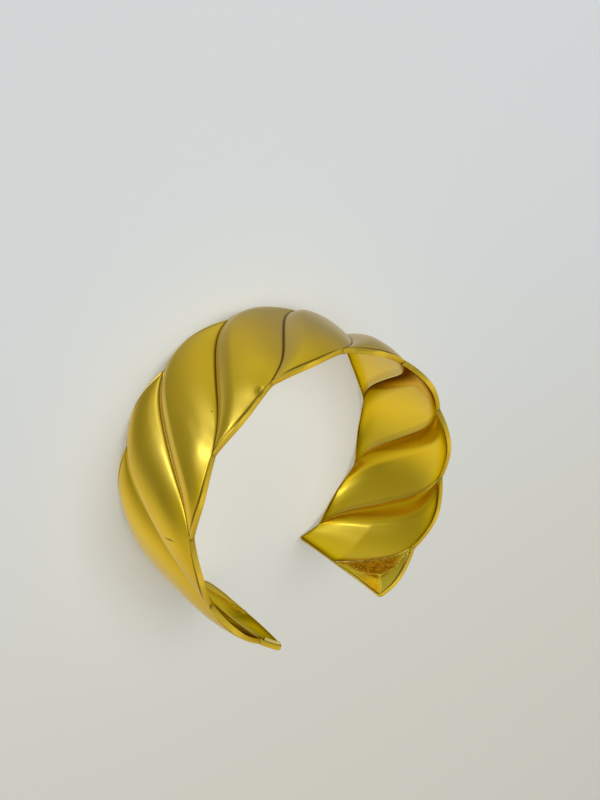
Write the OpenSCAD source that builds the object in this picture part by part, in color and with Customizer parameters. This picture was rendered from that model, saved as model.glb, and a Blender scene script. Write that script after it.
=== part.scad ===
// Open C-shaped cuff bangle in sheet metal, lying on its side with its opening towards -Y.
// Slanting S-shaped grooves part the band into pillow lobes, domed outside and hollow inside.
// A place on the band is (u, q): u runs round the wrist in mm from the middle of the back,
// clockwise seen from above, and q runs from 0 at the lower edge to 1 at the upper edge.

/* [Band] */
// Radius of the outer skin at the cut edges
band_r = 30.5; // [29.5:0.5:34]
// Length of each arm along that skin, from the middle of the back to its end
arm_len = 83.2; // [81:0.1:86]
// Width of the band between a lower cusp and an upper one
band_w = 25.7; // [20:0.1:32]
// Thickness of the metal
metal_t = 1.1; // [0.8:0.1:1.6]
// How far the middle of the width is drawn in from the edges
waist = 0.6; // [0:0.1:1.5]
// How far the left end is bent outward
left_bend = 1.5; // [0:0.1:2]
// Radius of the corners of both ends
corner_r = 0.8; // [0.5:0.1:2]

/* [Grooves] */
// Distance between neighbouring grooves round the wrist
groove_pitch = 16.5; // [16:0.1:17]
// How far a groove travels round the wrist from the upper edge to the lower
groove_travel = 24.5; // [20:0.5:26]
// Share of that travel that is a straight slant
straight_share = 0.75; // [0.5:0.05:1]
// Power of the rest, which hooks the groove round near both edges
hook_power = 5; // [3:1:7]

/* [Lobes] */
// Height of a whole lobe over its grooves
lobe_rise = 1.9; // [0.8:0.1:2.6]
// Where its crest runs, as a share of the way from the groove before it to the next
crest = 0.3; // [0.25:0.01:0.6]
// Power of its steeper side, from the crest back to the groove before it
steep_power = 1.5; // [1.2:0.1:2.4]
// Power of its gentler side, from the crest on to the next groove
gentle_power = 2.2; // [1.6:0.1:3]
// Power of the dome from edge to edge
width_power = 3.5; // [2:0.1:4.5]
// How far a lobe's edge bulges past its cusps
edge_bulge = 1.75; // [0.8:0.05:2.4]
// Power of that bulge
bulge_power = 1.55; // [1.3:0.05:2.5]
// Depth of the flat filed on each bulge, which the cuff rests on
flat_depth = 0.1; // [0.05:0.05:0.3]

/* [End pockets] */
// Height of the three-sided lobe in one corner of each end
pocket_rise = 1.9; // [1:0.1:2.5]
// Distance from the end and the edge at which it has its full height
pocket_reach = 4.4; // [2.5:0.1:5]
// The same distance from its groove
pocket_wall = 2.7; // [2:0.1:5]

/* [Facets] */
// Facets across a lobe
lobe_cols = 12; // [8:1:13]
// Facets across an end pocket
pocket_cols = 9; // [6:1:12]
// Facets across the width
rows = 18; // [12:1:20]

/* [Hidden] */

// Grooves are numbered from -last_groove to last_groove
last_groove = 5;
// Room kept for each lobe's facets where an end cuts its groove off
end_strip = 1.7;
// Angle where the outward bend of the left end starts, and the angle that has all of it
bend_from = 109;
bend_full = 156;
// Slant of a groove from the lie of the band, along which a pocket's wall is measured
slant = atan(groove_travel * straight_share / band_w);

function bound(v, low, high) = max(low, min(high, v));
function from_middle(q) = 2 * q - 1;

// 0 at both edges and 1 in the middle of the width
function fullness(q) = 1 - pow(abs(from_middle(q)), width_power);

// Where the groove that crosses the middle of the back lies
function lean(q) =
    let (m = from_middle(q))
    -groove_travel / 2 * (straight_share * m + (1 - straight_share) * sign(m) * pow(abs(m), hook_power));
function groove_u(g, q) = g * groove_pitch + lean(q);

// Length of an arm, less what its round corners take off
function arm_end(q) =
    let (d = min(q, 1 - q) * band_w)
    d >= corner_r ? arm_len
                  : arm_len - corner_r + sqrt(pow(corner_r, 2) - pow(corner_r - d, 2));

// The lobe at a place: its groove's number, its two sides, and how far across it the place is
function lobe_no(u, q) = floor((u - lean(q)) / groove_pitch);
function lobe_sides(g, q) =
    [max(groove_u(g, q), -arm_end(q)), min(groove_u(g + 1, q), arm_end(q))];
function across(u, sides) = bound((u - sides[0]) / max(0.001, sides[1] - sides[0]), 0, 1);
function share_of_pitch(sides) = bound((sides[1] - sides[0]) / groove_pitch, 0, 1);

// How high a lobe's back stands across its width, 0 at the grooves and 1 at its crest
function crest_shape(x) =
    x < crest ? 1 - pow((crest - x) / crest, steep_power)
              : 1 - pow((x - crest) / (1 - crest), gentle_power);

// Height of a lobe over its grooves, from its dome or from a pocket's three walls
function dome(u, q, sides) =
    lobe_rise * fullness(q) * share_of_pitch(sides) * crest_shape(across(u, sides));
function pocket(from_groove, from_end, from_edge) =
    pocket_rise * bound(min(from_groove * cos(slant) / pocket_wall,
                            min(from_end, from_edge) / pocket_reach), 0, 1);
function rise(u, q) =
    let (g = lobe_no(u, q), sides = lobe_sides(g, q))
    g >= last_groove ? pocket(u - sides[0], sides[1] - u, (1 - q) * band_w)
    : g < -last_groove ? pocket(sides[1] - u, u - sides[0], q * band_w)
    : dome(u, q, sides);

// How far the edge bulges beside a place; the ends cut straight through these bulges
function bulge(u, q) =
    let (g = lobe_no(u, q), x = across(u, [groove_u(g, q), groove_u(g + 1, q)]))
    edge_bulge * (1 - pow(abs(2 * x - 1), bulge_power));

function height(u, q) =
    let (side = edge_bulge - flat_depth)
    side + bound(band_w / 2 + (q - 0.5) * (band_w + 2 * bulge(u, q)), -side, band_w + side);

// A point of the skin, depth under the outer face
function skin(u, q, depth) =
    let (a = u / band_r * 180 / PI,
         bend = left_bend * pow(max(0, -a - bend_from) / (bend_full - bend_from), 2),
         r = band_r + bend - waist * fullness(q) + rise(u, q) - depth)
    [r * sin(a), r * cos(a), height(u, q)];

// Places of the facets: a line of columns follows each groove as far as the end lets it
function row_q(j) = (j / rows + 0.5 - 0.5 * cos(180 * j / rows)) / 2;
function column_line(g, q) =
    g > last_groove ? arm_end(q)
    : g < -last_groove ? -arm_end(q)
    : bound(groove_u(g, q), -arm_end(q) + end_strip * (last_groove + 1 + g),
            arm_end(q) - end_strip * (last_groove + 1 - g));
function cols_in(g) = abs(g + 0.5) > last_groove ? pocket_cols : lobe_cols;
function row_u(q) = [
    for (g = [-last_groove - 1 : last_groove])
        let (from = column_line(g, q), to = column_line(g + 1, q))
            for (i = [0 : cols_in(g) - 1]) from + (to - from) * i / cols_in(g),
    arm_end(q)
];
cols = 2 * pocket_cols + 2 * last_groove * lobe_cols;

function skin_points(depth) = [
    for (j = [0 : rows])
        let (q = row_q(j))
            for (u = row_u(q)) skin(u, q, depth)
];
outer = skin_points(0);
inner = skin_points(metal_t);

// The origin is under the middle of the box that holds the cuff
function middle_of(axis) =
    let (all_of_it = [for (p = outer) p[axis]])
    (min(all_of_it) + max(all_of_it)) / 2;
centre = [middle_of(0), middle_of(1), 0];

// Facets between four corners, and the number of the point in row j and column i of a skin
function facets(a, b, c, d) = [[a, b, c], [a, c, d]];
function at(side, j, i) = side * (rows + 1) * (cols + 1) + j * (cols + 1) + i;
function each_facet(quads) = [for (quad = quads) for (facet = quad) facet];

outer_face = [for (j = [0 : rows - 1]) for (i = [0 : cols - 1])
    facets(at(0, j, i), at(0, j, i + 1), at(0, j + 1, i + 1), at(0, j + 1, i))];
inner_face = [for (j = [0 : rows - 1]) for (i = [0 : cols - 1])
    facets(at(1, j, i), at(1, j + 1, i), at(1, j + 1, i + 1), at(1, j, i + 1))];
lower_edge = [for (i = [0 : cols - 1])
    facets(at(0, 0, i), at(1, 0, i), at(1, 0, i + 1), at(0, 0, i + 1))];
upper_edge = [for (i = [0 : cols - 1])
    facets(at(0, rows, i), at(0, rows, i + 1), at(1, rows, i + 1), at(1, rows, i))];
left_end = [for (j = [0 : rows - 1])
    facets(at(0, j, 0), at(0, j + 1, 0), at(1, j + 1, 0), at(1, j, 0))];
right_end = [for (j = [0 : rows - 1])
    facets(at(0, j, cols), at(1, j, cols), at(1, j + 1, cols), at(0, j + 1, cols))];

module cuff() {
    color("goldenrod")
        translate(-centre)
            polyhedron(
                points = concat(outer, inner),
                faces = each_facet(concat(outer_face, inner_face, lower_edge,
                                          upper_edge, left_end, right_end)),
                convexity = 6
            );
}

cuff();
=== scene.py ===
"""The cuff bangle's looks: its fine skin and gold-tone finish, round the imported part."""
import math

import bpy
import numpy as np
from mathutils import Matrix, Vector


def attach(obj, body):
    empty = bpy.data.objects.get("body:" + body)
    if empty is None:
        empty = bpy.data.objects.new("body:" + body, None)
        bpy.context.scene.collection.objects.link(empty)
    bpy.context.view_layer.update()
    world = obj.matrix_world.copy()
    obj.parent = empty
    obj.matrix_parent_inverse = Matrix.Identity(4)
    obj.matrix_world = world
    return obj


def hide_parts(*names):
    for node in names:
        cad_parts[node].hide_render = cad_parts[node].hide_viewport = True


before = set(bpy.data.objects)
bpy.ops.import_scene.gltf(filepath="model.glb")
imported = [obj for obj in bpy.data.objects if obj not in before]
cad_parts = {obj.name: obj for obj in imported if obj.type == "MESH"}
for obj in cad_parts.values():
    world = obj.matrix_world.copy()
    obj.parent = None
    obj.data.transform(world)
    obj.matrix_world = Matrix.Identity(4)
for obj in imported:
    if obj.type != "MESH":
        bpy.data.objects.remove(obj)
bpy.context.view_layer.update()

MM = 0.001

# Sizes of the band in mm, the same as in the part's source
BAND_R = 30.5
ARM_LEN = 83.2
BAND_W = 25.7
METAL_T = 1.1
WAIST = 0.6
LEFT_BEND = 1.5
BEND_FROM = 109.0
BEND_FULL = 156.0
CORNER_R = 0.8
PITCH = 16.5
TRAVEL = 24.5
STRAIGHT_SHARE = 0.75
HOOK_POWER = 5.0
LOBE_RISE = 1.9
CREST = 0.3
CREST_POWERS = (1.5, 2.2)
WIDTH_POWER = 3.5
EDGE_BULGE = 1.75
BULGE_POWER = 1.55
FLAT_DEPTH = 0.1
POCKET_RISE = 1.9
POCKET_REACH = 4.4
POCKET_WALL = 2.7
LAST_GROOVE = 5

# A length along the band times SQUARE is the length square to a groove; GROOVE_GAP is that of a whole pitch
SQUARE = math.cos(math.atan(TRAVEL * STRAIGHT_SHARE / BAND_W))
GROOVE_GAP = PITCH * SQUARE
# Share of a pitch by which a place on a groove belongs to the lobe after it
ON_GROOVE = 1e-6
# Least width of a lobe, in mm, so that a place across it can be worked out
THINNEST = 0.001

# Finer forms that only the skin has, in mm
RIM_R = 0.14
BEAD_W = 0.29
BEAD_LINE_W = 0.11
BEAD_LINE_DEPTH = 0.1
CREASE_W = 0.25
CREASE_DEPTH = 0.24

# The small ledge inside the upper corner of the left end: its height, where it starts and stops along
# the arm, how it rises below the upper edge and falls to its foot, and where its pale flat top lies
LEDGE_RISE = 0.75
LEDGE_START = (78.8, 79.0)
LEDGE_STOP = (82.5, 82.8)
LEDGE_EDGE = (0.17, 0.34)
LEDGE_FOOT = (0.34, 1.7)
# Its flat top is painted pale as a painted highlight
LEDGE_TOP_START = (0.17, 0.21)
LEDGE_TOP_STOP = (0.36, 0.46)

# Facets of the skin: how many, how evenly they are spread, and the rows beside the edges in mm
LOBE_COLS = 48
POCKET_COLS = 30
COLS_EVENNESS = 0.28
INNER_ROWS = 60
ROWS_EVENNESS = 0.6
RIM_STEPS = (0.0, 0.02, 0.05, 0.09, 0.13, 0.17, 0.21, 0.25, 0.29, 0.34, 0.42, 0.6, 0.9)
# Room kept for each lobe's facets where an end cuts its groove off
END_STRIP = 2.6
# Folds sharper than this stay sharp
SMOOTH_UP_TO = math.radians(22)

# The third number of a place on the inner side, which is 0 on the outer side
INNER_SIDE = 10.0


def lean(q):
    """Where the groove that crosses the middle of the back lies."""
    m = 2 * q - 1
    hook = np.sign(m) * np.abs(m) ** HOOK_POWER
    return -TRAVEL / 2 * (STRAIGHT_SHARE * m + (1 - STRAIGHT_SHARE) * hook)


def fullness(q):
    """0 at both edges and 1 in the middle of the width."""
    return 1 - np.abs(2 * q - 1) ** WIDTH_POWER


def rounding(radius, distance):
    """What a quarter round takes off at a distance from where it starts."""
    return radius - np.sqrt(np.maximum(0, radius**2 - np.maximum(0, radius - distance) ** 2))


def between(distance, start, stop):
    """0 up to start, 1 from stop, straight between."""
    return np.clip((distance - start) / (stop - start), 0, 1)


def arm_end(q):
    """Length of an arm, less what its round corners take off."""
    return ARM_LEN - rounding(CORNER_R, np.minimum(q, 1 - q) * BAND_W)


def lobe_at(u, q):
    """The lobe's number, its two sides, how far across it the place is, and its share of a whole lobe."""
    g = np.floor((u - lean(q)) / PITCH + ON_GROOVE)
    end = arm_end(q)
    low = np.maximum(g * PITCH + lean(q), -end)
    high = np.minimum((g + 1) * PITCH + lean(q), end)
    across = np.clip((u - low) / np.maximum(THINNEST, high - low), 0, 1)
    return g, low, high, across, np.clip((high - low) / PITCH, 0, 1)


def crest_shape(across):
    """How high the lobe's rounded back stands across its width, 0 at the grooves and 1 at the crest."""
    before = across < CREST
    t = np.where(before, (CREST - across) / CREST, (across - CREST) / (1 - CREST))
    return 1 - t ** np.where(before, *CREST_POWERS)


def pocket_shape(from_groove, from_end, from_edge):
    """Height of the three-sided lobe in an end's corner."""
    free = np.minimum(from_end, from_edge) / POCKET_REACH
    return POCKET_RISE * np.clip(np.minimum(from_groove * SQUARE / POCKET_WALL, free), 0, 1)


def groove_distance(u, q):
    """Millimetres, square to the groove, from the nearest one; the arm's ends count as none."""
    g = np.clip(np.rint((u - lean(q)) / PITCH), -LAST_GROOVE, LAST_GROOVE)
    return np.abs(u - lean(q) - g * PITCH) * SQUARE


def past_groove(u, q):
    """Millimetres, square to the groove, since the last one on the way round."""
    share = (u - lean(q)) / PITCH
    return (share - np.floor(share + ON_GROOVE)) * GROOVE_GAP


def rim_distance(u, q):
    """Millimetres from the nearest edge or end of the band."""
    return np.minimum(np.minimum(q, 1 - q) * BAND_W, arm_end(q) - np.abs(u))


def rise(u, q):
    """Height of the outer skin over the band's round: its lobes, end pockets and groove creases."""
    g, low, high, across, share = lobe_at(u, q)
    dome = LOBE_RISE * fullness(q) * share * crest_shape(across)
    right = pocket_shape(u - low, high - u, (1 - q) * BAND_W)
    left = pocket_shape(high - u, u - low, q * BAND_W)
    lobe = np.where(g >= LAST_GROOVE, right, np.where(g < -LAST_GROOVE, left, dome))
    clear_of_bead = np.clip(rim_distance(u, q) / BEAD_W, 0, 1)
    return lobe - CREASE_DEPTH * clear_of_bead * np.exp(-groove_distance(u, q) / CREASE_W)


def height(u, q):
    """Height over the floor; the edges bulge between the cusps, and each bulge is filed flat."""
    share = (u - lean(q)) / PITCH
    uncut = np.clip(share - np.floor(share + ON_GROOVE), 0, 1)
    bulge = EDGE_BULGE * (1 - np.abs(2 * uncut - 1) ** BULGE_POWER)
    side = EDGE_BULGE - FLAT_DEPTH
    return side + np.clip(BAND_W / 2 + (q - 0.5) * (BAND_W + 2 * bulge), -side, BAND_W + side)


def skin(u, q, depth):
    """Points of the cuff in mm, depth under the outer face, round the centre of its plan."""
    a = u / BAND_R
    bend = LEFT_BEND * (np.maximum(0, -np.degrees(a) - BEND_FROM) / (BEND_FULL - BEND_FROM)) ** 2
    r = BAND_R + bend - WAIST * fullness(q) + rise(u, q) - depth
    return np.stack([r * np.sin(a), r * np.cos(a), height(u, q)], axis=-1)


def rim_sink(from_rim):
    """How far the skin sinks at the rounded rim, and in the fine line between its bead and the lobes."""
    line = BEAD_LINE_DEPTH * np.exp(-(((from_rim - BEAD_W) / BEAD_LINE_W) ** 2))
    return rounding(RIM_R, from_rim) + line


def corner_ledge(u, q):
    """The ledge's thickness at a place, and 1 on its flat top."""
    along = between(-u, *LEDGE_START) * (1 - between(-u, *LEDGE_STOP))
    down = (1 - q) * BAND_W
    thickness = LEDGE_RISE * between(down, *LEDGE_EDGE) * (1 - between(down, *LEDGE_FOOT))
    flat_top = between(down, *LEDGE_TOP_START) * (1 - between(down, *LEDGE_TOP_STOP))
    return thickness * along, flat_top * along


def steps(count, evenness):
    """Steps from 0 to 1, closer together near both ends the less evenness they have."""
    x = np.linspace(0, 1, count + 1)
    return evenness * x + (1 - evenness) * (0.5 - 0.5 * np.cos(np.pi * x))


def row_qs():
    """q of each row, close together beside the edges, where the rim is rounded."""
    near = np.array(RIM_STEPS) / BAND_W
    inner = near[-1] + (1 - 2 * near[-1]) * steps(INNER_ROWS, ROWS_EVENNESS)
    return np.concatenate([near[:-1], inner, 1 - near[-2::-1]])


def column_line(g, q):
    """u of the line of columns that follows a groove as far as the end lets it."""
    if abs(g) > LAST_GROOVE:
        return math.copysign(1, g) * arm_end(q)
    low = -arm_end(q) + END_STRIP * (LAST_GROOVE + 1 + g)
    high = arm_end(q) - END_STRIP * (LAST_GROOVE + 1 - g)
    return np.minimum(np.maximum(g * PITCH + lean(q), low), high)


def row_us(q):
    """u of each column in a row, close together beside every groove."""
    parts = []
    for g in range(-LAST_GROOVE - 1, LAST_GROOVE + 1):
        cols = POCKET_COLS if g in (-LAST_GROOVE - 1, LAST_GROOVE) else LOBE_COLS
        start, stop = column_line(g, q), column_line(g + 1, q)
        parts.append(start + (stop - start) * steps(cols, COLS_EVENNESS)[:-1])
    parts.append(np.array([float(arm_end(q))]))
    return np.concatenate(parts)


def flat_sheet():
    """A flat grid with a vertex for every place of the skin, and the u and q of each."""
    q = row_qs()
    u = np.array([row_us(v) for v in q])
    rows, cols = u.shape
    bpy.ops.object.select_all(action="DESELECT")
    bpy.ops.mesh.primitive_grid_add(x_subdivisions=cols - 1, y_subdivisions=rows - 1, size=1)
    sheet = bpy.context.object
    sheet.name = "cuff_skin"
    sheet.data.name = "cuff_skin"
    grid = np.zeros(len(sheet.data.vertices) * 3)
    sheet.data.vertices.foreach_get("co", grid)
    i = np.rint((grid[0::3] + 0.5) * (cols - 1)).astype(int)
    j = np.rint((grid[1::3] + 0.5) * (rows - 1)).astype(int)
    return sheet, u[j, i], q[j]


def thicken(sheet):
    """Gives the sheet its inner side, whose vertices follow the outer ones, and its edges.

    How thick it is doesn't matter yet, because every vertex is put in its place afterwards.
    """
    inner_side = sheet.modifiers.new("inner_side", "SOLIDIFY")
    inner_side.thickness = 0.01
    inner_side.offset = -1
    bpy.ops.object.modifier_apply(modifier=inner_side.name)


def note_places(cuff, u, q, inner, flat_top):
    """What the finish needs to know of each vertex, lengths in mm."""
    notes = {
        "groove": groove_distance(u, q),
        "past": past_groove(u, q),
        "rim": rim_distance(u, q),
        "inside": inner,
        "pocket": np.abs(lobe_at(u, q)[0] + 0.5) > LAST_GROOVE,
        "ledge": flat_top * inner,
    }
    for name, values in notes.items():
        note = cuff.data.attributes.new(name, "FLOAT", "POINT")
        note.data.foreach_set("value", values.astype(np.float32))
    places = np.stack([u, q * BAND_W, inner * INNER_SIDE], axis=-1).astype(np.float32)
    note = cuff.data.attributes.new("place", "FLOAT_VECTOR", "POINT")
    note.data.foreach_set("vector", places.ravel())


def make_cuff():
    """The sheet, with its outer side, its inner side and its rim rolled into place by one formula."""
    cuff, sheet_u, sheet_q = flat_sheet()
    thicken(cuff)
    u, q = np.tile(sheet_u, 2), np.tile(sheet_q, 2)
    inner = np.arange(len(u)) >= len(sheet_u)
    sink = rim_sink(rim_distance(u, q))
    thickness, flat_top = corner_ledge(u, q)
    points = skin(u, q, np.where(inner, METAL_T - sink + thickness, sink))
    middle = (points.min(axis=0) + points.max(axis=0)) / 2 * (1, 1, 0)
    cuff.data.vertices.foreach_set("co", ((points - middle) * MM).ravel())
    cuff.data.update()
    note_places(cuff, u, q, inner, flat_top)
    return cuff


def face_outwards(piece):
    """Turns every face outwards and smooths all but the sharp folds."""
    bpy.ops.object.select_all(action="DESELECT")
    piece.select_set(True)
    bpy.context.view_layer.objects.active = piece
    bpy.ops.object.mode_set(mode="EDIT")
    bpy.ops.mesh.select_all(action="SELECT")
    bpy.ops.mesh.normals_make_consistent(inside=False)
    bpy.ops.object.mode_set(mode="OBJECT")
    bpy.ops.object.shade_smooth_by_angle(angle=SMOOTH_UP_TO)


cuff = make_cuff()
face_outwards(cuff)


def work_out(tree, operation, *values, clamp=False):
    """One Math node on numbers or sockets; gives its result."""
    node = tree.nodes.new("ShaderNodeMath")
    node.operation = operation
    node.use_clamp = clamp
    for socket, value in zip(node.inputs, values):
        if isinstance(value, (int, float)):
            socket.default_value = value
        else:
            tree.links.new(value, socket)
    return node.outputs[0]


def shared(tree, *areas):
    """The area that all of these have in common."""
    amount = areas[0]
    for area in areas[1:]:
        amount = work_out(tree, "MULTIPLY", amount, area)
    return amount


def without(tree, area, other):
    """One area less another."""
    return work_out(tree, "SUBTRACT", area, other, clamp=True)


def added_up(tree, start, changes, clamp=True):
    """A value after each area has changed it by its own amount."""
    for area, change in changes:
        start = work_out(tree, "MULTIPLY_ADD", area, change, start, clamp=clamp)
    return start


def read(tree, name):
    """A number that every vertex of the cuff carries."""
    node = tree.nodes.new("ShaderNodeAttribute")
    node.attribute_name = name
    return node.outputs["Vector"] if name == "place" else node.outputs["Fac"]


def split(tree, vector):
    """The X, Y and Z of a vector."""
    node = tree.nodes.new("ShaderNodeSeparateXYZ")
    tree.links.new(vector, node.inputs["Vector"])
    return node.outputs


def fading(tree, distance, full, gone):
    """1 on full's side, 0 on gone's side, smooth between."""
    node = tree.nodes.new("ShaderNodeMapRange")
    node.interpolation_type = "SMOOTHSTEP"
    node.inputs["From Min"].default_value = full
    node.inputs["From Max"].default_value = gone
    node.inputs["To Min"].default_value = 1
    node.inputs["To Max"].default_value = 0
    tree.links.new(distance, node.inputs["Value"])
    return node.outputs["Result"]


def toned(tree, amount, under, over):
    """One colour laid over another by amount."""
    node = tree.nodes.new("ShaderNodeMix")
    node.data_type = "RGBA"
    tree.links.new(amount, node.inputs["Factor"])
    for socket, value in ((node.inputs[6], under), (node.inputs[7], over)):
        if isinstance(value, tuple):
            socket.default_value = value + (1,)
        else:
            tree.links.new(value, socket)
    return node.outputs[2]


def cloudy(tree, place, scale, detail, stretch=(1, 1, 1)):
    """Soft noise on a place, from 0 to 1, with cells of about 1 / scale."""
    spread = tree.nodes.new("ShaderNodeMapping")
    spread.inputs["Scale"].default_value = stretch
    tree.links.new(place, spread.inputs["Vector"])
    noise = tree.nodes.new("ShaderNodeTexNoise")
    noise.inputs["Scale"].default_value = scale
    noise.inputs["Detail"].default_value = detail
    tree.links.new(spread.outputs["Vector"], noise.inputs["Vector"])
    return noise.outputs["Fac"]


def spot(tree, place, centre, half_sizes, turn):
    """1 inside a small oval mark on the skin, 0 outside; all in mm."""
    oval = tree.nodes.new("ShaderNodeMapping")
    oval.vector_type = "TEXTURE"
    oval.inputs["Location"].default_value = centre
    oval.inputs["Rotation"].default_value = (0, 0, math.radians(turn))
    oval.inputs["Scale"].default_value = half_sizes
    tree.links.new(place, oval.inputs["Vector"])
    far = tree.nodes.new("ShaderNodeVectorMath")
    far.operation = "LENGTH"
    tree.links.new(oval.outputs["Vector"], far.inputs[0])
    return fading(tree, far.outputs["Value"], *FADES["mark"])


# Tones of the metal; some are painted shade or painted highlights, as marked
GOLD = (0.90, 0.62, 0.014)
PALE_GOLD = (0.94, 0.68, 0.038)
# Painted shade under and before the ridges and along the rim of the hollow side
SHADE_GOLD = (0.46, 0.28, 0.003)
# Painted lighter tone of the hollow side, standing in for the light it catches
INNER_LIT_GOLD = (1.0, 0.71, 0.015)
# Painted lighter tone in the right end's pocket, standing in for light
POCKET_LIT_GOLD = (1.0, 0.82, 0.06)
# Painted highlight on the rim
RIM_HIGHLIGHT_GOLD = (1.0, 0.73, 0.08)
# Painted highlight along the ridges of the hollow side
RIDGE_HIGHLIGHT_GOLD = (1.0, 0.86, 0.16)
# Painted highlight on the ledge's flat top
LEDGE_HIGHLIGHT_GOLD = (1.0, 0.84, 0.28)
TARNISHED = (0.80, 0.52, 0.01)
# Painted shade under the ridges at the left end, in olive
SHADE_OLIVE = (0.36, 0.26, 0.006)
SEAM_OLIVE = (0.84, 0.82, 0.13)
CAST_ORANGE = (0.95, 0.50, 0.012)
# Painted shade in the grooves, beside the rim's bead, at the cusps and round the ledge;
# also the brown of the marks and of the blotches in the cast patch
SHADE_AND_MARK_BROWN = (0.18, 0.10, 0.004)
# Tint of what the metal mirrors at a glancing angle: in the open, and on the hollow side under the ridges
# and near the rim, where the dark tint is painted shade
OPEN_SHEEN = (1.0, 1.0, 1.0)
SHADED_SHEEN = (0.18, 0.10, 0.004)

# Soft noise in the solid: cells in a metre, and detail
CLOUDS = {
    "pale_clouds": (95, 3),
    "tarnish_clouds": (38, 3),
    "speckle": (2000, 4),
    "waves": (150, 2),
    "grain": (2600, 3),
}
# Streaks across the band: cells in a mm, detail, and how they are drawn out round the wrist and up the band
STREAKS = (1.1, 3, (3.2, 0.35, 1))

# Where each area is all there and where it is gone, in mm
FADES = {
    # Round the wrist, and up the band
    "left_arm": (-68, -58),
    "high_up": (15, 9),
    "end_seam": (13, 15),
    # From the nearest groove, past the last one, and before the next one
    "in_groove": (0.12, 0.42),
    "on_ridge": (0.10, 0.26),
    "on_seam": (0.45, 0.9),
    "at_cusp": (0.05, 0.4),
    "beside_cusp": (0.6, 3.6),
    "cast_patch": (1.9, 2.6),
    "under_ridge": (0.8, 4.2),
    "over_ridge": (0.9, 1.7),
    # From the rim
    "on_rim": (0.16, 0.25),
    "cusp_depth": (0.25, 0.5),
    "beside_rim": (0.40, 0.58),
    "along_rim": (0.3, 1.7),
    "near_rim": (0.5, 4.5),
    "cast_edge": (3.0, 0.8),
    # From the middle of a mark, in its half sizes
    "mark": (0.1, 1.0),
    # In amounts of noise
    "tarnished": (0.62, 0.42),
    "blotches": (0.40, 0.56),
}
# How much of the painted shade line beside the rim is gone at the cusps
CUSP_CLEARING = 0.7

# Tones laid over the plain gold in this order: where, how strongly, and the tone;
# many of them are painted shade or painted highlights
TONES = (
    ("pale_clouds", 0.5, PALE_GOLD),
    ("tarnished", 0.45, TARNISHED),
    ("inside", 0.8, INNER_LIT_GOLD),
    # Painted shade under the ridges of the hollow side
    ("under_ridge", 0.7, SHADE_GOLD),
    ("left_shade", 0.9, SHADE_OLIVE),
    ("right_pocket", 0.6, POCKET_LIT_GOLD),
    ("cast_patch", 0.95, CAST_ORANGE),
    ("blotches", 0.5, SHADE_AND_MARK_BROWN),
    # Painted shade along the rim of the hollow side, then before each ridge
    ("along_rim", 0.75, SHADE_GOLD),
    ("over_ridge", 0.35, SHADE_GOLD),
    ("on_ridge", 0.8, RIDGE_HIGHLIGHT_GOLD),
    ("end_seam", 1.0, SEAM_OLIVE),
    # Painted shade in the grooves, beside the rim's bead and at the cusps, and a painted highlight on the
    # rim
    ("in_groove", 0.75, SHADE_AND_MARK_BROWN),
    ("beside_rim", 0.8, SHADE_AND_MARK_BROWN),
    ("on_rim", 0.6, RIM_HIGHLIGHT_GOLD),
    ("cusps", 0.3, SHADE_AND_MARK_BROWN),
    ("ledge", 1.0, LEDGE_HIGHLIGHT_GOLD),
    ("ledge_outline", 3.6, SHADE_AND_MARK_BROWN),
    ("dark_marks", 1.0, SHADE_AND_MARK_BROWN),
)

# The thin clear coat, how rough the metal is, and what each area changes of them
COAT = 0.15
COAT_ROUGHNESS = 0.22
COAT_CHANGES = {"under_ridge": -0.11, "left_inside": -0.10, "near_rim": -0.14, "cast_patch": -0.12}
ROUGHNESS = 0.15
ROUGHNESS_CHANGES = {"streaks": 0.10, "cast_patch": 0.28, "on_rim": -0.05}
# The fine relief: what each area adds to its height, in mm
RELIEF = {"waves": 0.04, "grain": 0.0016, "grit": 0.6, "deep_marks": -1.0}

# Small marks on the outer side: place (round the wrist, up the band) and half sizes in mm, turn in degrees,
# how dark, and how deep in mm
MARKS = {
    "nick": ((-47.3, 19.6), (0.2, 1.9), -12, 0.95, 0.06),
    "pit_low": ((-38.2, 9.9), (0.24, 0.30), 0, 0.6, 0.05),
    "pit_middle": ((-22.4, 19.1), (0.20, 0.34), 20, 0.6, 0.05),
    "pit_high": ((-3.6, 17.6), (0.22, 0.22), 0, 0.5, 0.04),
    # The dent's darkness is painted shade in its hollow
    "dent": ((-14.8, 24.9), (1.2, 1.7), 20, 0.5, 0.2),
}
# How far a mark reaches towards the other side of the sheet
MARK_REACH = 3


def marked(tree, place):
    """How dark the marks are, and how deep."""
    dark_marks, deep_marks = 0.0, 0.0
    for middle, half_sizes, turn, dark, deep in MARKS.values():
        mark = spot(tree, place, (*middle, 0), (*half_sizes, MARK_REACH), turn)
        dark_marks = work_out(tree, "MULTIPLY_ADD", mark, dark, dark_marks)
        deep_marks = work_out(tree, "MULTIPLY_ADD", mark, deep, deep_marks)
    return dark_marks, deep_marks


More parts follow.
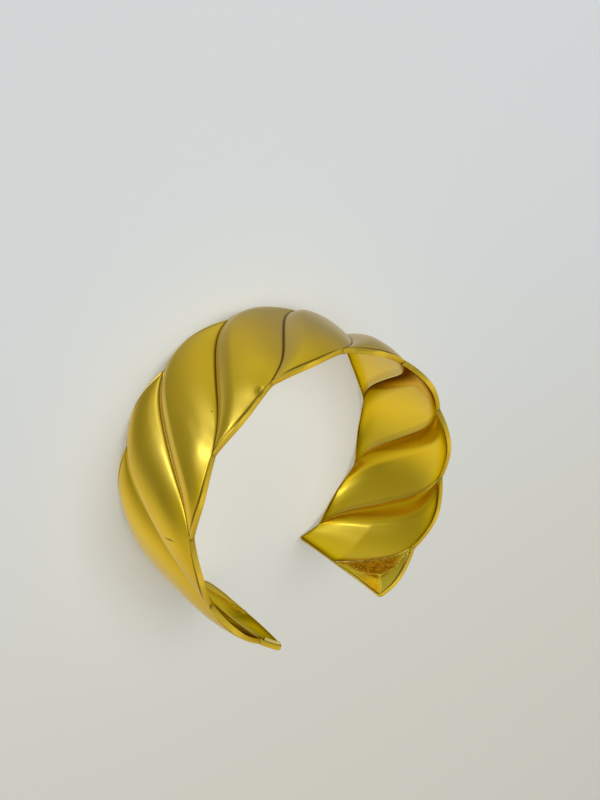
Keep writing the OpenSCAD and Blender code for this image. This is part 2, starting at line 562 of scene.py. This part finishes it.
def finish_areas(tree):
    """The areas that the finish tells apart, by name, painted shade and highlights among them;
    deep_marks is a depth in mm.
    """
    solid = tree.nodes.new("ShaderNodeTexCoord").outputs["Object"]
    area = {name: cloudy(tree, solid, *numbers) for name, numbers in CLOUDS.items()}
    place, inside = read(tree, "place"), read(tree, "inside")
    groove, past, rim = read(tree, "groove"), read(tree, "past"), read(tree, "rim")
    pocket, ledge = read(tree, "pocket"), read(tree, "ledge")
    round_wrist, up_band = split(tree, place)[:2]

    def near(name, distance):
        return fading(tree, distance, *FADES[name])

    def rest_of(amount):
        return without(tree, 1.0, amount)

    # The hollow side's lighter tone is painted light
    area["inside"] = inside
    # Painted highlight on the ledge's flat top, and painted shade along its outline
    area["ledge"] = ledge
    area["ledge_outline"] = shared(tree, ledge, rest_of(ledge))
    area["streaks"] = cloudy(tree, place, *STREAKS)
    area["tarnished"] = near("tarnished", area["tarnish_clouds"])
    area["dark_marks"], area["deep_marks"] = marked(tree, place)

    # The hollow side: painted shade under and before the ridges and along the rim,
    # and a painted highlight on each ridge
    left_inside = shared(tree, near("left_arm", round_wrist), inside)
    high_up = near("high_up", up_band)
    low_left = shared(tree, left_inside, rest_of(high_up))
    under_ridge = without(tree, shared(tree, near("under_ridge", past), inside), low_left)
    before_groove = work_out(tree, "SUBTRACT", GROOVE_GAP, past)
    out_of_pocket = without(tree, inside, pocket)
    area["left_inside"] = left_inside
    area["under_ridge"] = under_ridge
    # Painted shade under the ridges of the hollow left end, in olive
    area["left_shade"] = shared(tree, left_inside, under_ridge, high_up)
    area["over_ridge"] = shared(tree, near("over_ridge", before_groove), inside)
    # Painted highlight along each ridge of the hollow side
    area["on_ridge"] = shared(tree, near("on_ridge", groove), inside)
    area["end_seam"] = shared(tree, left_inside, near("end_seam", up_band), near("on_seam", groove))
    area["along_rim"] = shared(tree, near("along_rim", rim), out_of_pocket)
    area["near_rim"] = shared(tree, near("near_rim", rim), out_of_pocket)

    # The right end's pocket, with a painted lighter tone for light, and the rough cast patch in it
    right_pocket = without(tree, shared(tree, pocket, inside), left_inside)
    cast_patch = shared(tree, right_pocket, near("cast_patch", groove), near("cast_edge", rim))
    area["right_pocket"] = right_pocket
    area["cast_patch"] = cast_patch
    area["blotches"] = shared(tree, cast_patch, near("blotches", area["speckle"]))
    area["grit"] = shared(tree, area["speckle"], cast_patch)

    # The grooves of the outer side, and the rim with its bead: painted shade in the grooves, beside
    # the bead and at the cusps, and a painted highlight on the rim
    on_rim = near("on_rim", rim)
    clear_of_cusp = work_out(tree, "MULTIPLY_ADD", near("beside_cusp", groove), -CUSP_CLEARING, 1.0)
    area["in_groove"] = shared(tree, near("in_groove", groove), rest_of(inside))
    area["on_rim"] = on_rim
    # Painted shade in a line beside the rim's bead, cleared near the cusps
    area["beside_rim"] = shared(tree, near("beside_rim", rim), rest_of(on_rim), clear_of_cusp)
    # Painted shade at the cusps
    area["cusps"] = shared(tree, near("at_cusp", groove), near("cusp_depth", rim))
    return area


def gold_tone():
    """Satin gold-tone metal with painted highlights on the rim and ridges and painted shade in the grooves,
    with its rough cast patch.
    """
    mat = bpy.data.materials.new("gold_tone")
    mat.use_nodes = True
    tree = mat.node_tree
    metal = tree.nodes["Principled BSDF"]
    area = finish_areas(tree)

    def changed_by(changes):
        return [(area[name], change) for name, change in changes.items()]

    colour = GOLD
    for name, strength, tone in TONES:
        colour = toned(tree, work_out(tree, "MULTIPLY", area[name], strength), colour, tone)
    tree.links.new(colour, metal.inputs["Base Color"])
    metal.inputs["Metallic"].default_value = 1.0
    # Painted shade: the glancing reflection is tinted dark under the ridges and near the rim of the hollow
    # side
    shaded = work_out(tree, "MAXIMUM", area["under_ridge"], area["near_rim"])
    tree.links.new(toned(tree, shaded, OPEN_SHEEN, SHADED_SHEEN), metal.inputs["Specular Tint"])

    tree.links.new(added_up(tree, COAT, changed_by(COAT_CHANGES)), metal.inputs["Coat Weight"])
    metal.inputs["Coat Roughness"].default_value = COAT_ROUGHNESS
    tree.links.new(added_up(tree, ROUGHNESS, changed_by(ROUGHNESS_CHANGES)), metal.inputs["Roughness"])

    relief = tree.nodes.new("ShaderNodeBump")
    relief.inputs["Distance"].default_value = MM
    tree.links.new(added_up(tree, 0.0, changed_by(RELIEF), clamp=False), relief.inputs["Height"])
    tree.links.new(relief.outputs["Normal"], metal.inputs["Normal"])
    return mat


cuff.data.materials.append(gold_tone())
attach(cuff, "root")
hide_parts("cuff")

# Camera: its focal length in pixels of a picture this high, and its turns and distance from the point that
# it looks at, in degrees and metres
PICTURE_H = 800
FOCAL_PX = 1121.5
SENSOR = 36
CAM_AZ, CAM_EL, CAM_ROLL = -129.894, 47.807, 120.011
CAM_DIST = 0.22396
NEAREST_SEEN = 0.01
AIM = Vector((0.005589, 0.01212, 0.011341))


def towards_camera():
    """The direction from the point that the camera looks at to the camera."""
    az, el = math.radians(CAM_AZ), math.radians(CAM_EL)
    return Vector((math.sin(az) * math.cos(el), -math.cos(az) * math.cos(el), math.sin(el)))


def camera():
    """The camera, at the photo's angle to the cuff."""
    cam_data = bpy.data.cameras.new("camera")
    cam = bpy.data.objects.new("camera", cam_data)
    bpy.context.scene.collection.objects.link(cam)
    cam_data.sensor_width = SENSOR
    cam_data.lens = FOCAL_PX * SENSOR / PICTURE_H
    cam_data.clip_start = NEAREST_SEEN
    back = towards_camera()
    look = (-back).to_track_quat("-Z", "Y").to_matrix().to_4x4()
    roll = Matrix.Rotation(math.radians(CAM_ROLL), 4, "Z")
    cam.matrix_world = Matrix.Translation(AIM + back * CAM_DIST) @ look @ roll
    bpy.context.scene.camera = cam


camera()

# The studio: its own up is the cuff's +Y, its front the side that the camera is on
UP = Vector((0, 1, 0))
FRONT = (towards_camera() - UP * towards_camera().dot(UP)).normalized()
RIGHT = UP.cross(FRONT)

# The floor: its size, the tones of its far and near parts (the near one painted shade), where along Y
# the near one fades, and its finish
FLOOR_SIZE = 2.0
FLOOR_FAR = (0.83, 0.868, 0.872)
FLOOR_NEAR_SHADE = (0.832, 0.822, 0.735)
FLOOR_TURN = (-0.10, 0.06)
FLOOR_ROUGHNESS = 0.7
FLOOR_SPECULAR = 0.2
# Painted glow: the floor shines with a little of its own tone, which lightens the shading on it
FLOOR_GLOW = 0.35
# The lamp over it: place, width, and how brightly it lights the floor
LAMP_PLACE = (0, 0.3, 0.9)
LAMP_ACROSS = 0.7
LAMP_BRIGHT = 2.85

# Brightness of the studio from straight down to straight up: table, dark level band, pale walls and ceiling
LEVELS = (
    (-1.0, 0.50),
    (-0.5, 0.56),
    (-0.15, 0.46),
    (-0.05, 0.36),
    (0.12, 0.26),
    (0.30, 0.27),
    (0.55, 0.32),
    (0.80, 0.40),
    (1.0, 0.44),
)
# Soft lights on the walls: height, turn, how tight, and how bright at the middle
SOFT_LIGHTS = {
    "key": (34, -54, 60, 2.5),
    "level_front": (13, -62, 25, 0.42),
    "table_left": (-27, -112, 12, 0.15),
    "table_right": (-24, 70, 16, 0.20),
    "horizon": (-2, -128, 60, 0.15),
    "back_wall": (45, -164, 14, 0.18),
    "back_low": (10, -160, 14, 0.12),
    "far_wall": (22, 154, 14, 0.105),
    "dark_edge": (-6, -92, 50, -0.16),
}
# The window and its glow, in the same terms; their bluer light makes the gold's highlights pale
WINDOW = {
    "pane": (37.5, -84, 220, 3.1),
    "upper_pane": (49, -92, 170, 0.95),
    "top": (64, -113, 120, 0.46),
    "foot": (29, -74, 180, 0.5),
    "sill": (27, -86, 150, 0.35),
    "frame_side": (51, -112, 200, 0.2),
    "reveal": (36, -104, 300, 0.25),
    "ceiling_glow": (58, -111, 60, 0.27),
}
# What each channel gains from the daylight, and from the warm table below the level
TINTS = {"Red": (-0.10, 0.0), "Green": (0.0, -0.045), "Blue": (3.5, -0.15)}
# Levels between which the table's warmth fades
TABLE_FADE = (-0.45, 0.0)


def studio(lat, lon):
    """A direction by its height over the studio's level and its turn from the front to the right."""
    la, lo = math.radians(lat), math.radians(lon)
    return UP * math.sin(la) + (FRONT * math.cos(lo) + RIGHT * math.sin(lo)) * math.cos(la)


def floor():
    """A pale floor with a faint painted glow that lightens the shading on it; the metal mirrors the studio
    round it instead of the floor.
    """
    bpy.ops.mesh.primitive_plane_add(size=FLOOR_SIZE, location=(0, 0, 0))
    plane = bpy.context.object
    plane.name = "floor"
    mat = bpy.data.materials.new("pale_floor")
    mat.use_nodes = True
    tree = mat.node_tree
    paper = tree.nodes["Principled BSDF"]
    solid = tree.nodes.new("ShaderNodeTexCoord").outputs["Object"]
    near = fading(tree, split(tree, solid)["Y"], *FLOOR_TURN)
    # The darker, warmer near tone is painted shade
    tone = toned(tree, near, FLOOR_FAR, FLOOR_NEAR_SHADE)
    tree.links.new(tone, paper.inputs["Base Color"])
    paper.inputs["Roughness"].default_value = FLOOR_ROUGHNESS
    paper.inputs["Specular IOR Level"].default_value = FLOOR_SPECULAR
    # Painted glow in the floor's own tone
    tree.links.new(tone, paper.inputs["Emission Color"])
    paper.inputs["Emission Strength"].default_value = FLOOR_GLOW
    plane.data.materials.append(mat)
    plane.visible_glossy = False
    plane.visible_shadow = False


def studio_dome():
    """The world round the stage: levels of brightness, with the lights and the window on its walls."""
    world = bpy.data.worlds.new("studio")
    bpy.context.scene.world = world
    world.use_nodes = True
    tree = world.node_tree
    way = tree.nodes.new("ShaderNodeTexCoord").outputs["Generated"]

    def along(direction):
        node = tree.nodes.new("ShaderNodeVectorMath")
        node.operation = "DOT_PRODUCT"
        tree.links.new(way, node.inputs[0])
        node.inputs[1].default_value = direction
        return node.outputs["Value"]

    def glow(lights, light):
        for lat, lon, tight, bright in lights.values():
            near = work_out(tree, "MULTIPLY_ADD", along(studio(lat, lon)), tight, -tight)
            light = work_out(tree, "MULTIPLY_ADD", work_out(tree, "EXPONENT", near), bright, light)
        return light

    ramp = tree.nodes.new("ShaderNodeValToRGB")
    stops = ramp.color_ramp.elements
    while len(stops) < len(LEVELS):
        stops.new(0.5)
    for stop, (level, bright) in zip(stops, LEVELS):
        stop.position = (level + 1) / 2
        stop.color = (bright, bright, bright, 1)
    tree.links.new(work_out(tree, "MULTIPLY_ADD", along(UP), 0.5, 0.5), ramp.inputs["Fac"])

    daylight = glow(WINDOW, 0.0)
    light = work_out(tree, "ADD", glow(SOFT_LIGHTS, ramp.outputs["Color"]), daylight)
    table = fading(tree, along(UP), *TABLE_FADE)
    mixed = tree.nodes.new("ShaderNodeCombineColor")
    for channel, (from_window, from_table) in TINTS.items():
        tinted = added_up(tree, light, ((daylight, from_window), (table, from_table)), clamp=False)
        tree.links.new(tinted, mixed.inputs[channel])
    # The dome is there for the metal to mirror; the lamp over the floor lights the floor
    world.cycles_visibility.diffuse = False
    shine = tree.nodes["Background"]
    shine.inputs["Strength"].default_value = 1.0
    tree.links.new(mixed.outputs["Color"], shine.inputs["Color"])


def overhead():
    """A wide lamp over the floor behind the cuff, which the metal doesn't mirror."""
    bpy.ops.object.light_add(type="AREA", location=LAMP_PLACE)
    lamp = bpy.context.object
    lamp.name = "overhead"
    lamp.data.shape = "SQUARE"
    lamp.data.size = LAMP_ACROSS
    lamp.data.energy = math.pi * LAMP_ACROSS**2 * LAMP_BRIGHT
    lamp.visible_glossy = False


floor()
studio_dome()
overhead()

bpy.context.scene.view_settings.view_transform = "Standard"
